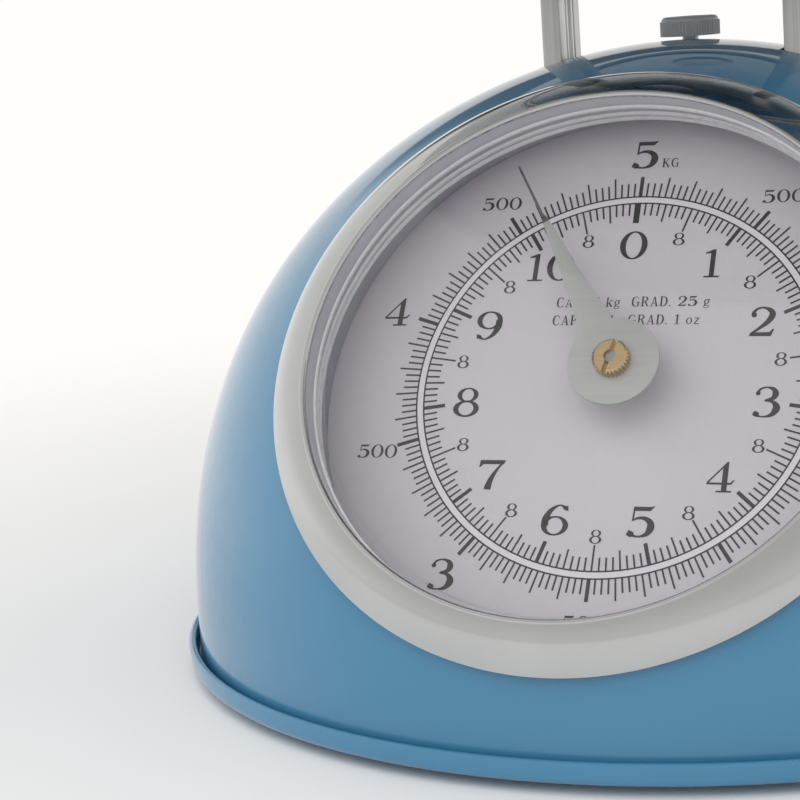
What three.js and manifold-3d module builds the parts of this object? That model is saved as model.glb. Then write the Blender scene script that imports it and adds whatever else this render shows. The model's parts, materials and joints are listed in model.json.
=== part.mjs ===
// Kitchen scale with a domed body, a tilted dial and a lift-off bowl.
// Millimetres, +Z up, the dial faces -Y, z = 0 is the floor under the rubber feet.
import * as THREE from 'three';
import { mergeVertices } from 'three/examples/jsm/utils/BufferGeometryUtils.js';
import Module from 'manifold-3d';

const wasm = await Module();
wasm.setup();

// ---- driving sizes --------------------------------------------------------
const GAP = 0.3;            // air between pieces that touch
const SHEET = 1.2;          // pressed steel thickness
const FOOT_H = 1.7;         // rubber feet
const PAN_Z = FOOT_H + GAP; // underside of the base pan
const PAN_R = 117.2;

const DOME_R = 114.67;      // dome: superellipse of revolution
const DOME_Z0 = 11;
const DOME_H = 120.1;
const DOME_EXP_R = 1.934;
const DOME_EXP_Z = 2.205;

const DIAL_TILT = 35.55;    // degrees the dial leans back
const DIAL_Y = -60.86;
const DIAL_Z = 66.56;
const DIAL_R = 62;
const BEZEL_TILT = 38.23;
const BEZEL_Y = -75.2;
const BEZEL_Z = 73.9;
const BEZEL_R = 66.39;
const BEZEL_IN_R = 56.8;
const BEZEL_H = 6.9;        // rise of the bezel from outer edge to inner lip
const BORE_R = 63.2;        // opening in the dome

const POINTER_REST = 30;   // degrees anticlockwise of the zero mark at rest
const PINION_R = 3;         // pitch radius
const PINION_TEETH = 12;
const PINION_S = 24;        // depth of the gear plane behind the dial
const SHAFT_X = 2;          // the pointer shaft stands this far right of the printed rings' centre

const POST_X = 26.75;
const POST_W = 4.3;
const POST_D = 15;
const POST_TOP = 158.5;
const POST_BOTTOM = 26;
const BEAM_LOW_Z = 30;
const BEAM_TOP_Z = 96;
const BEAM_T = 6;

const KNOB_Y = 10;
const KNOB_R = 6.6;
const KNOB_TOP = 135.8;

const LINK_REAR_Y = 66;
const LINK_FRONT_Y = 16;
const LINK_RISE = 8.1;      // the links point up by this much at rest
const LINK_LOW_Z = 32;      // rear pivots
const LINK_TOP_Z = 80;

const SPRING_X = 15;
const SPRING_Y = 9;
const SPRING_R = 3.2;
const HANGER_Z = 106;

const CARRIER_Z = POST_TOP + GAP;
const CARRIER_R = 48;
const BOWL_FOOT_R = 38;
const BOWL_Z = CARRIER_Z + 1.5 + GAP;
const BOWL_R = 120;
const BOWL_H = 44;

const ROUND = 44;           // facets round the large turned pieces
const ROUND_SMALL = 32;

// ---- materials ------------------------------------------------------------
const MATERIALS = {
  paint: new THREE.MeshStandardMaterial({ color: 0x5b8dae, roughness: 0.25, metalness: 0.1 }),
  chrome: new THREE.MeshStandardMaterial({ color: 0xd4d6d6, roughness: 0.1, metalness: 1 }),
  steel: new THREE.MeshStandardMaterial({ color: 0x9a9c9a, roughness: 0.4, metalness: 0.9 }),
  stainless: new THREE.MeshStandardMaterial({ color: 0xc6c8ca, roughness: 0.25, metalness: 1 }),
  clear: new THREE.MeshStandardMaterial({ color: 0xf2f4f6, roughness: 0.05, opacity: 0.3, transparent: true }),
  dial: new THREE.MeshStandardMaterial({ color: 0xd8d4dc, roughness: 0.6, metalness: 0 }),
  black: new THREE.MeshStandardMaterial({ color: 0x222224, roughness: 0.6, metalness: 0 }),
  rubber: new THREE.MeshStandardMaterial({ color: 0x1a1a1a, roughness: 0.9, metalness: 0 }),
  brass: new THREE.MeshStandardMaterial({ color: 0xb8924f, roughness: 0.3, metalness: 1 }),
  spring: new THREE.MeshStandardMaterial({ color: 0xb0b2b4, roughness: 0.35, metalness: 1 }),
};

// ---- solids ---------------------------------------------------------------
const rad = (degrees) => degrees * Math.PI / 180;

// Closed manifold body from a three.js geometry, faces turned outward.
function solid(geometry) {
  const bare = geometry.clone();
  bare.deleteAttribute('normal');
  bare.deleteAttribute('uv');
  const merged = mergeVertices(bare, 1e-4);
  const index = merged.index.array;
  const points = merged.attributes.position;
  const faces = [];
  for (let i = 0; i < index.length; i += 3) {
    const [a, b, c] = [index[i], index[i + 1], index[i + 2]];
    if (a !== b && b !== c && c !== a) faces.push(a, b, c);
  }
  const [pa, pb, pc] = [new THREE.Vector3(), new THREE.Vector3(), new THREE.Vector3()];
  let volume = 0;
  for (let i = 0; i < faces.length; i += 3) {
    pa.fromBufferAttribute(points, faces[i]);
    pb.fromBufferAttribute(points, faces[i + 1]);
    pc.fromBufferAttribute(points, faces[i + 2]);
    volume += pa.dot(pb.cross(pc));
  }
  if (volume < 0) {
    for (let i = 0; i < faces.length; i += 3) [faces[i + 1], faces[i + 2]] = [faces[i + 2], faces[i + 1]];
  }
  return new wasm.Manifold(new wasm.Mesh({
    numProp: 3,
    vertProperties: new Float32Array(points.array),
    triVerts: new Uint32Array(faces),
  }));
}

const box = (w, d, h, x, y, z) => solid(new THREE.BoxGeometry(w, d, h).translate(x, y, z));

// Upright cylinder between two heights.
function tube(r, z0, z1, x = 0, y = 0, segments = 24) {
  const geometry = new THREE.CylinderGeometry(r, r, z1 - z0, segments);
  return solid(geometry.rotateX(Math.PI / 2).translate(x, y, (z0 + z1) / 2));
}

// Cylinder along X between two x values.
function crossRod(r, x0, x1, y, z, segments = 12) {
  const geometry = new THREE.CylinderGeometry(r, r, x1 - x0, segments);
  return solid(geometry.rotateZ(Math.PI / 2).translate((x0 + x1) / 2, y, z));
}

// Body of revolution about Z from [radius, height] pairs.
function revolve(profile, segments = 48) {
  const points = profile.map(([r, z]) => new THREE.Vector2(r, z));
  return solid(new THREE.LatheGeometry(points, segments).rotateX(Math.PI / 2));
}

const ring = (profile, segments) => revolve([...profile, profile[0]], segments);

// Plate with an outline in the local XY plane, from z0 to z1.
function plate(outline, z0, z1) {
  const shape = new THREE.Shape(outline.map(([x, y]) => new THREE.Vector2(x, y)));
  const geometry = new THREE.ExtrudeGeometry(shape, { depth: z1 - z0, bevelEnabled: false });
  return solid(geometry.translate(0, 0, z0));
}

// Plate with an outline given as [y, z] pairs, between two x values.
function sidePlate(outline, x0, x1) {
  const shape = new THREE.Shape(outline.map(([y, z]) => new THREE.Vector2(y, z)));
  const geometry = new THREE.ExtrudeGeometry(shape, { depth: x1 - x0, bevelEnabled: false });
  geometry.rotateX(Math.PI / 2).rotateZ(Math.PI / 2);
  return solid(geometry.translate(x0, 0, 0));
}

const union = (bodies) => bodies.reduce((sum, body) => sum.add(body));
const without = (body, cuts) => cuts.reduce((left, cut) => left.subtract(cut), body);

// Places a body built in a tilted face frame: local x right, y up the face, z out of it.
const onFace = (body, tilt, y, z) => body.rotate([90 - tilt, 0, 0]).translate([0, y, z]);
const onDial = (body) => onFace(body, DIAL_TILT, DIAL_Y, DIAL_Z);
const onShaft = (body) => onDial(body.translate([SHAFT_X, 0, 0]));
const onBezel = (body) => onFace(body, BEZEL_TILT, BEZEL_Y, BEZEL_Z);

const scale = new THREE.Group();
scale.name = 'kitchen_scale';

function addNode(name, material, body) {
  const { vertProperties, triVerts } = body.getMesh();
  const indexed = new THREE.BufferGeometry();
  indexed.setAttribute('position', new THREE.BufferAttribute(new Float32Array(vertProperties), 3));
  indexed.setIndex(new THREE.BufferAttribute(new Uint32Array(triVerts), 1));
  const geometry = indexed.toNonIndexed();
  geometry.computeVertexNormals();
  const mesh = new THREE.Mesh(geometry, MATERIALS[material]);
  mesh.name = name;
  scale.add(mesh);
}

// ---- housing --------------------------------------------------------------
const screwRing = [45, 135, 225, 315].map((angle) => [106 * Math.cos(rad(angle)), 106 * Math.sin(rad(angle))]);
const frameScrews = [[-11, 42], [11, 42], [-11, 78], [11, 78]];

function basePan() {
  const top = PAN_Z + SHEET;
  const pan = revolve([
    [0, PAN_Z], [115.8, PAN_Z], [116.8, PAN_Z + 0.4], [PAN_R, PAN_Z + 1.2], [PAN_R, PAN_Z + 4],
    [116.85, PAN_Z + 4.5], [116.2, PAN_Z + 4.5], [115.85, PAN_Z + 4], [115.85, top + 0.5],
    [115.3, top], [0, top],
  ], ROUND);
  const holes = [...screwRing, ...frameScrews].map(([x, y]) => tube(1.8, 0, 6, x, y, 12));
  return without(pan, holes);
}

// Radius of the dome skin at height z, shrunk by inset.
function domeProfile(inset, steps) {
  const profile = [];
  for (let i = 0; i <= steps; i += 1) {
    const s = (Math.PI / 2) * (i / steps);
    const r = (DOME_R - inset) * Math.pow(Math.cos(s), 2 / DOME_EXP_R);
    const z = DOME_Z0 + (DOME_H - inset) * Math.pow(Math.sin(s), 2 / DOME_EXP_Z);
    profile.push([i === steps ? 0 : r, z]);
  }
  return profile;
}

function domeBody() {
  const rim = PAN_Z + SHEET + GAP;
  const outer = domeProfile(0, 9);
  const inner = domeProfile(SHEET, 7).reverse();
  const flange = [[DOME_R - SHEET, rim + SHEET], [100, rim + SHEET], [100, rim]];
  const shell = revolve([...outer, ...inner, ...flange, [DOME_R, rim], outer[0]], ROUND);
  const opening = onBezel(tube(BORE_R, -40, 60, 0, 0, ROUND));
  const seat = onBezel(tube(BEZEL_R + 0.7, -0.7, 60, 0, 0, ROUND));
  const slots = [-1, 1].map((side) => box(POST_W + 1.6, POST_D + 1.6, 30, side * POST_X, 0, 125));
  const stemHole = tube(2.2, 110, 140, 0, KNOB_Y, 16);
  const holes = screwRing.map(([x, y]) => tube(1.8, 2, 8, x, y, 12));
  return without(shell, [opening, seat, ...slots, stemHole, ...holes]);
}

function bezelRing() {
  const lip = BEZEL_IN_R;
  return onBezel(ring([
    [BEZEL_R, -0.1], [BEZEL_R, 0.4], [65.4, 1.5], [62.5, 3.75], [59.5, 5.75], [57.5, BEZEL_H],
    [lip, 6.6], [lip, 3.7], [57.7, 3.7], [58.1, 5.1], [61.8, 2.7], [61.8, -5], [62.7, -5], [62.7, 0.8], [65.4, -0.1],
  ], ROUND));
}

function dialLens() {
  const cup = onBezel(ring([
    [0, 3.4], [56.3, 3.4], [56.4, 2.9], [56.4, -0.2], [61.3, -0.2], [61.3, -1.4], [56.4, -1.4], [56.4, -24],
    [55.4, -24], [55.4, 2.2], [0, 2.2],
  ], ROUND_SMALL));
  const behindDial = onDial(box(160, 160, 60, 0, 0, -30 + GAP));
  return cup.subtract(behindDial);
}

const dialPlate = () => onDial(without(
  tube(DIAL_R, -0.8, 0, 0, 0, ROUND_SMALL), [tube(4, -2, 2, SHAFT_X, 0, 20)]));

const pillarSpots = [[-16, 11], [16, 11], [-16, -17], [16, -17]];

function dialHousing() {
  const dish = ring([
    [0, -3.6], [63.4, -3.6], [63.4, 3], [62.4, 3], [62.4, -0.8 - GAP], [0, -0.8 - GAP],
  ], ROUND_SMALL);
  const screws = pillarSpots.map(([x, y]) => tube(1.4, -5, 0, x, y, 12));
  return onDial(without(dish, [tube(3.6, -5, 1, SHAFT_X, 0, 24), ...screws]));
}

const shaftBush = (z0, z1, r) => onShaft(
  tube(r, z0, z1, 0, 0, 24).subtract(tube(1.3, z0 - 1, z1 + 1, 0, 0, 20)));

const gearPlateZ = -(PINION_S + 6);

function gearPlate() {
  const outline = [[-19, -21], [19, -21], [19, 14], [-19, 14]];
  const holes = pillarSpots.map(([x, y]) => tube(1.4, gearPlateZ - 3, gearPlateZ + 2, x, y, 12));
  const body = plate(outline, gearPlateZ - 1.5, gearPlateZ);
  return onDial(without(body, [tube(3.4, gearPlateZ - 3, gearPlateZ + 2, SHAFT_X, 0, 24), ...holes]));
}

const pillar = ([x, y]) => onDial(tube(2.5, gearPlateZ + GAP, -3.6 - GAP, x, y, 16));

function rackGuide() {
  const z = -PINION_S;
  const block = box(4.2, 9, 9, 10.4, 0, z - 1.2);
  return onShaft(without(block, [box(6, 2.4, 2.4, 10.4, 0, z + 2)]));
}

// Bent steel frame: foot plate, two cheeks, a rear web and the bridge that holds the spring hanger.
function mechanismFrame() {
  const z0 = PAN_Z + SHEET + GAP;
  const outline = [
    [59, z0], [73, z0], [73, 86], [62, 100], [34, 117], [3, 117], [3, 112], [31, 112], [54, 95], [59, 84],
  ];
  const cheeks = [-1, 1].map((side) => sidePlate(outline, side * 17 - 0.8, side * 17 + 0.8));
  const foot = box(34, 44, 1.6, 0, 60, z0 + 0.8);
  const web = box(34, 1.6, 70, 0, 72.2, z0 + 35);
  const bridge = box(34, 16, 1.6, 0, 11, 116.2);
  const holes = [
    ...frameScrews.map(([x, y]) => tube(1.8, 1, 8, x, y, 12)),
    crossRod(1.5, -20, 20, LINK_REAR_Y, LINK_LOW_Z),
    crossRod(1.5, -20, 20, LINK_REAR_Y, LINK_TOP_Z),
    tube(2.2, 112, 120, 0, KNOB_Y, 20),
    tube(1.3, 112, 120, -11, KNOB_Y, 12),
    tube(1.3, 112, 120, 11, KNOB_Y, 12),
  ];
  return without(union([...cheeks, foot, web, bridge]), holes);
}

const pivotPin = (y, z, half) => crossRod(1.2, -half, half, y, z, 16);

function panScrew([x, y], reach) {
  const head = tube(3, 0.5, PAN_Z - GAP, x, y, 14);
  const stem = tube(1.4, 1.2, PAN_Z + SHEET + reach, x, y, 10);
  const slot = box(5, 0.8, 1, x, y, 0.5);
  return without(head.add(stem), [slot]);
}

function rubberFoot(x, y) {
  const foot = revolve([[0, 0], [7.2, 0], [8, 0.6], [8, FOOT_H], [0, FOOT_H]], 18);
  return foot.translate([x, y, 0]);
}

// ---- weighing carriage ----------------------------------------------------
function post(side) {
  const half = POST_W / 2;
  const groove = 0.7;
  const outline = [];
  const face = [[-7.5, 0.6], [-6.9, 0], [-1.4, 0], [-0.9, groove], [0.9, groove], [1.4, 0], [6.9, 0], [7.5, 0.6]];
  face.forEach(([y, inset]) => outline.push([half - inset, y]));
  [...face].reverse().forEach(([y, inset]) => outline.push([inset - half, y]));
  const body = plate(outline, POST_BOTTOM, POST_TOP).translate([side * POST_X, 0, 0]);
  const holes = [
    tube(1.1, POST_TOP - 9, POST_TOP + 1, side * POST_X, 0, 12),
    crossRod(1.5, side * POST_X - 4, side * POST_X + 4, 0, BEAM_LOW_Z + BEAM_T / 2, 12),
    crossRod(1.5, side * POST_X - 4, side * POST_X + 4, 0, BEAM_TOP_Z + BEAM_T / 2, 12),
  ];
  return without(body, holes);
}

const beamHalf = POST_X - POST_W / 2 - GAP;
const lugHole = (x0, x1, z) => union([
  crossRod(1.6, x0, x1, LINK_FRONT_Y - 0.8, z),
  crossRod(1.6, x0, x1, LINK_FRONT_Y + 0.8, z),
  box(x1 - x0, 1.6, 3.2, (x0 + x1) / 2, LINK_FRONT_Y, z),
]);

function lowerBeam() {
  const bar = box(2 * beamHalf, 12, BEAM_T, 0, 0, BEAM_LOW_Z + BEAM_T / 2);
  const shelf = box(40, 10, 2, 0, 9, BEAM_LOW_Z + 1);
  const lugZ = LINK_LOW_Z + LINK_RISE;
  const lugs = [-1, 1].map((side) => box(2, 12, 14, side * 6, 13.5, lugZ - 4));
  const cuts = [
    lugHole(-9, 9, lugZ),
    ...[-1, 1].map((side) => tube(1, BEAM_LOW_Z - 1, BEAM_LOW_Z + 4, side * SPRING_X, SPRING_Y, 12)),
    ...[-1, 1].map((side) => crossRod(1.1, side * beamHalf - 8, side * beamHalf + 8, 0, BEAM_LOW_Z + 3, 12)),
  ];
  return without(union([bar, shelf, ...lugs]), cuts);
}

function upperBeam() {
  const bar = box(2 * beamHalf, 10, BEAM_T, 0, -2, BEAM_TOP_Z + BEAM_T / 2);
  const lugZ = LINK_TOP_Z + LINK_RISE;
  const arms = [-1, 1].map((side) => sidePlate(
    [[1, BEAM_TOP_Z + 0.5], [1, BEAM_TOP_Z + 5.5], [20, BEAM_TOP_Z - 2], [20, lugZ - 4], [12.5, lugZ - 4], [12.5, lugZ + 2]],
    side * 6 - 1, side * 6 + 1));
  const cuts = [
    lugHole(-9, 9, lugZ),
    ...[-1, 1].map((side) => crossRod(1.1, side * beamHalf - 8, side * beamHalf + 8, 0, BEAM_TOP_Z + 3, 12)),
  ];
  return without(union([bar, ...arms]), cuts);
}

const YOKE_SLOT_Z = 83.5;
const YOKE_X = SHAFT_X + 10.3;

// Bracket with the level slot that pushes the tilted rack.
function driveYoke() {
  const arm = sidePlate(
    [[-37, 79], [-15, 79], [-9, 88], [-7.3, 96], [-7.3, 102], [-8.9, 102], [-12, 90], [-17, 88], [-37, 88]],
    YOKE_X - 0.8, YOKE_X + 0.8);
  const tab = box(13, 1.6, 6, 17.4, -8.1, 99);
  const slot = union([
    crossRod(1.6, YOKE_X - 2, YOKE_X + 2, -34, YOKE_SLOT_Z),
    crossRod(1.6, YOKE_X - 2, YOKE_X + 2, -17.5, YOKE_SLOT_Z),
    box(4, 16.5, 3.2, YOKE_X, -25.75, YOKE_SLOT_Z),
  ]);
  return without(union([arm, tab]), [slot]);
}

function trayCarrier() {
  const dish = ring([
    [0, CARRIER_Z], [CARRIER_R - 2.4, CARRIER_Z], [CARRIER_R - 1.2, CARRIER_Z - 1], [CARRIER_R - 1.2, CARRIER_Z - 3],
    [CARRIER_R, CARRIER_Z - 3], [CARRIER_R, CARRIER_Z], [CARRIER_R - 1.5, CARRIER_Z + 1.5], [9.5, CARRIER_Z + 1.5],
    [8.5, CARRIER_Z + 2.6], [0, CARRIER_Z + 2.6],
  ], ROUND_SMALL);
  const cuts = [-1, 1].map((side) => revolve([
    [0, CARRIER_Z - 1], [1.5, CARRIER_Z - 1], [1.5, CARRIER_Z + 0.2], [2.8, CARRIER_Z + 1.5],
    [2.8, CARRIER_Z + 3], [0, CARRIER_Z + 3],
  ], 20).translate([side * POST_X, 0, 0]));
  const windows = [-1, 1].map((side) => tube(9, CARRIER_Z - 1, CARRIER_Z + 3, 0, side * 26, 28));
  return without(dish, [...cuts, ...windows]);
}

function carrierScrew(side) {
  const screw = revolve([
    [0, POST_TOP - 7], [0.9, POST_TOP - 7], [0.9, CARRIER_Z + 0.3], [2.2, CARRIER_Z + 1.4], [0, CARRIER_Z + 1.4],
  ], 20);
  const slot = box(5, 0.5, 0.7, 0, 0, CARRIER_Z + 1.4);
  return screw.subtract(slot).translate([side * POST_X, 0, 0]);
}

function beamScrew(side, z) {
  const edge = POST_X + POST_W / 2 + GAP;
  const head = crossRod(2.4, edge, edge + 1.2, 0, z, 14);
  const stem = crossRod(0.8, beamHalf - 6, edge + 0.6, 0, z, 8);
  const screw = head.add(stem).subtract(box(0.6, 4, 0.6, edge + 1.2, 0, z));
  return side > 0 ? screw : screw.mirror([1, 0, 0]);
}

function spring(side) {
  const z0 = BEAM_LOW_Z + 3;
  const z1 = HANGER_Z - 3;
  const turns = 10;
  const points = [];
  for (let i = 0; i <= turns * 6; i += 1) {
    const a = (i / 6) * 2 * Math.PI;
    points.push(new THREE.Vector3(
      SPRING_R * Math.cos(a), SPRING_R * Math.sin(a), z0 + (z1 - z0) * (i / (turns * 6))));
  }
  const path = new THREE.CatmullRomCurve3(points);
  const wire = new THREE.Shape();
  wire.moveTo(0.5, 0);
  wire.lineTo(0, 0.5);
  wire.lineTo(-0.5, 0);
  wire.lineTo(0, -0.5);
  const geometry = new THREE.ExtrudeGeometry(wire, {
    steps: turns * 6, curveSegments: 2, bevelEnabled: false, extrudePath: path,
  });
  return solid(geometry).translate([side * SPRING_X, SPRING_Y, 0]);
}

// ---- pointer train --------------------------------------------------------
const POINTER_H = 9.3;

function pointerBlade() {
  const angle = rad(POINTER_REST);
  const hub = tube(9.35, POINTER_H - 0.3, POINTER_H + 0.3, 0, 0, 32);
  const blade = plate([[-3.4, 6], [3.4, 6], [1.3, 36.4], [-1.3, 36.4]], POINTER_H - 0.3, POINTER_H + 0.3);
  const needle = sidePlate([[35, POINTER_H + 0.3], [36.6, POINTER_H + 1.1], [51.4, POINTER_H + 0.3],
    [51.4, POINTER_H - 0.1], [36.6, POINTER_H - 1.1], [35, POINTER_H - 0.3]], -0.3, 0.3);
  const body = union([hub, blade, needle]).subtract(tube(1.5, 0, 20, 0, 0, 20));
  return onShaft(body.rotate([0, 0, angle * 180 / Math.PI]));
}

function pointerNut() {
  const nut = tube(3.7, POINTER_H + 0.6, POINTER_H + 2.8, 0, 0, 24).subtract(tube(1.5, 0, 20, 0, 0, 20));
  const slot = box(0.9, 9, 1.2, 0, 0, POINTER_H + 2.8);
  const collet = tube(3, POINTER_H - 2.4, POINTER_H - 0.6, 0, 0, 24).subtract(tube(1.5, 0, 20, 0, 0, 20));
  return [onShaft(nut.subtract(slot)), onShaft(collet)];
}

const pointerShaft = () => onShaft(tube(1.2, gearPlateZ - 3, POINTER_H + 2.2, 0, 0, 20));

function pinion() {
  const outline = [];
  for (let i = 0; i < PINION_TEETH; i += 1) {
    const centre = (i + 0.5) * 2 * Math.PI / PINION_TEETH;
    [[-0.36, 2.35], [-0.16, 2.35], [-0.07, 3.3], [0.07, 3.3], [0.16, 2.35]].forEach(([da, r]) => {
      if (da !== -0.36) outline.push([r * Math.cos(centre + da), r * Math.sin(centre + da)]);
    });
  }
  const gear = plate(outline, -PINION_S - 2, -PINION_S + 2);
  return onShaft(gear.subtract(tube(1.5, -40, 0, 0, 0, 20)));
}

function rack() {
  const pitch = 2 * Math.PI * PINION_R / PINION_TEETH;
  const [y0, y1] = [-20, 42];
  const outline = [[7.8, y0], [7.8, y1], [3.7, y1]];
  for (let n = 13; n >= -11; n -= 1) {
    const y = n * pitch;
    outline.push([3.7, y + 0.5], [2.95, y + 0.2], [2.95, y - 0.2], [3.7, y - 0.5]);
  }
  outline.push([3.7, y0]);
  const bar = plate(outline, -PINION_S - 2, -PINION_S + 2);
  const hole = solid(new THREE.CylinderGeometry(1.5, 1.5, 12, 20).rotateZ(Math.PI / 2).translate(6, 38, -PINION_S));
  return onShaft(bar.subtract(hole));
}

function rackPin() {
  const geometry = new THREE.CylinderGeometry(1.2, 1.2, 8, 20).rotateZ(Math.PI / 2);
  return onShaft(solid(geometry.translate(8.2, 38, -PINION_S)));
}

// ---- parallel links, zero adjustment, bowl --------------------------------
function link(z) {
  const rise = LINK_RISE;
  const outline = [
    [LINK_REAR_Y + 3, z - 3], [LINK_REAR_Y + 3, z + 3], [LINK_REAR_Y, z + 3.6],
    [LINK_FRONT_Y, z + rise + 3], [LINK_FRONT_Y - 3, z + rise], [LINK_FRONT_Y, z + rise - 3],
    [LINK_REAR_Y, z - 3.6],
  ];
  const arms = [-1, 1].map((side) => sidePlate(outline, side * 9 - 0.75, side * 9 + 0.75));
  const tie = box(18, 8, 1.5, 0, 50, z + 2.6);
  const sleeve = crossRod(3, -9, 9, LINK_REAR_Y, z, 16);
  const cuts = [crossRod(1.5, -20, 20, LINK_REAR_Y, z), crossRod(1.5, -20, 20, LINK_FRONT_Y, z + rise)];
  return without(union([...arms, tie, sleeve]), cuts);
}

function zeroKnob() {
  const outline = [];
  const ribs = 20;
  for (let i = 0; i < ribs; i += 1) {
    const a = i * 2 * Math.PI / ribs;
    const half = Math.PI / ribs;
    outline.push([KNOB_R * Math.cos(a), KNOB_R * Math.sin(a)]);
    outline.push([(KNOB_R - 0.45) * Math.cos(a + half), (KNOB_R - 0.45) * Math.sin(a + half)]);
  }
  const base = DOME_Z0 + DOME_H + 0.5;
  const grip = plate(outline, base, KNOB_TOP - 0.9);
  const cap = revolve([
    [0, KNOB_TOP - 1], [KNOB_R - 0.45, KNOB_TOP - 1], [KNOB_R - 1.2, KNOB_TOP - 0.15], [KNOB_R - 1.9, KNOB_TOP],
    [0, KNOB_TOP],
  ], 20);
  const stem = tube(1.8, 109, base + 0.5, 0, 0, 20);
  return union([grip, cap, stem]).translate([0, KNOB_Y, 0]);
}

function springHanger() {
  const bar = box(38, 7, 3, 0, SPRING_Y, HANGER_Z);
  const boss = tube(4, HANGER_Z - 1, HANGER_Z + 4.5, 0, KNOB_Y, 24);
  const cuts = [
    tube(2.1, HANGER_Z - 10, HANGER_Z + 10, 0, KNOB_Y, 20),
    ...[-1, 1].map((side) => tube(1, HANGER_Z - 3, HANGER_Z + 3, side * SPRING_X, SPRING_Y, 12)),
  ];
  return without(union([bar, boss]), cuts);
}

function bowl() {
  const wall = 0.9;
  const curve = (r0, z0, r1, z1) => {
    const points = [];
    for (let i = 0; i <= 5; i += 1) {
      const a = (Math.PI / 2) * (i / 5);
      points.push([r0 + (r1 - r0) * Math.sin(a), z1 - (z1 - z0) * Math.cos(a)]);
    }
    return points;
  };
  const top = BOWL_Z + BOWL_H;
  const outer = curve(BOWL_FOOT_R, BOWL_Z, BOWL_R - 3, top - 3);
  const inner = curve(BOWL_FOOT_R, BOWL_Z + wall, BOWL_R - 3 - wall, top - 3).reverse();
  const lip = [[BOWL_R - 0.6, top - 2.6], [BOWL_R, top - 1.3], [BOWL_R - 0.6, top], [BOWL_R - 4.2, top]];
  const dimple = BOWL_Z + 1.6;
  return revolve([
    [0, dimple], [11, dimple], [12.6, BOWL_Z], ...outer, ...lip, ...inner,
    [13, BOWL_Z + wall], [11.4, dimple + wall], [0, dimple + wall],
  ], ROUND);
}

// ---- assembly -------------------------------------------------------------
addNode('base_pan', 'paint', basePan());
addNode('dome_body', 'paint', domeBody());
addNode('bezel_ring', 'chrome', bezelRing());
addNode('dial_lens', 'clear', dialLens());
addNode('dial_plate', 'dial', dialPlate());
addNode('dial_housing', 'black', dialHousing());
addNode('shaft_bush_front', 'brass', shaftBush(-3.6, -1.1, 3.2));
addNode('shaft_bush_rear', 'brass', shaftBush(gearPlateZ - 1.5, gearPlateZ + 1, 3));
addNode('gear_plate', 'steel', gearPlate());
pillarSpots.forEach((spot, i) => addNode(`gear_pillar_${i + 1}`, 'brass', pillar(spot)));
addNode('rack_guide', 'black', rackGuide());
addNode('mechanism_frame', 'steel', mechanismFrame());
addNode('link_pin_rear_lower', 'steel', pivotPin(LINK_REAR_Y, LINK_LOW_Z, 19));
addNode('link_pin_rear_upper', 'steel', pivotPin(LINK_REAR_Y, LINK_TOP_Z, 19));
screwRing.forEach((spot, i) => addNode(`pan_screw_${i + 1}`, 'steel', panScrew(spot, 3)));
frameScrews.forEach((spot, i) => addNode(`frame_screw_${i + 1}`, 'steel', panScrew(spot, 4)));
[['front_left', -62, -62], ['front_right', 62, -62], ['rear_left', -62, 62], ['rear_right', 62, 62]].forEach(
  ([place, x, y]) => addNode(`foot_${place}`, 'rubber', rubberFoot(x, y)));

addNode('post_left', 'steel', post(-1));
addNode('post_right', 'steel', post(1));
addNode('beam_lower', 'steel', lowerBeam());
addNode('beam_upper', 'steel', upperBeam());
addNode('drive_yoke', 'steel', driveYoke());
addNode('tray_carrier', 'steel', trayCarrier());
addNode('carrier_screw_left', 'steel', carrierScrew(-1));
addNode('carrier_screw_right', 'steel', carrierScrew(1));
[['left', -1], ['right', 1]].forEach(([place, side]) => {
  addNode(`beam_screw_lower_${place}`, 'steel', beamScrew(side, BEAM_LOW_Z + 3));
  addNode(`beam_screw_upper_${place}`, 'steel', beamScrew(side, BEAM_TOP_Z + 3));
  addNode(`spring_${place}`, 'spring', spring(side));
});

addNode('pointer', 'steel', pointerBlade());
const [nut, collet] = pointerNut();
addNode('pointer_nut', 'brass', nut);
addNode('pointer_collet', 'brass', collet);
addNode('pointer_shaft', 'steel', pointerShaft());
addNode('pinion', 'brass', pinion());
addNode('rack', 'brass', rack());
addNode('rack_pin', 'steel', rackPin());

addNode('link_lower', 'steel', link(LINK_LOW_Z));
addNode('link_upper', 'steel', link(LINK_TOP_Z));
addNode('link_pin_front_lower', 'steel', pivotPin(LINK_FRONT_Y, LINK_LOW_Z + LINK_RISE, 11));
addNode('link_pin_front_upper', 'steel', pivotPin(LINK_FRONT_Y, LINK_TOP_Z + LINK_RISE, 11));
addNode('zero_knob', 'steel', zeroKnob());
addNode('spring_hanger', 'steel', springHanger());
addNode('bowl', 'stainless', bowl());

export default scale;
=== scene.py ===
"""Kitchen scale: the looks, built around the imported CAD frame. Metres, +Z up, dial towards -Y."""
import json
import math

import bmesh
import bpy
import numpy as np
from mathutils import Matrix, Vector


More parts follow.
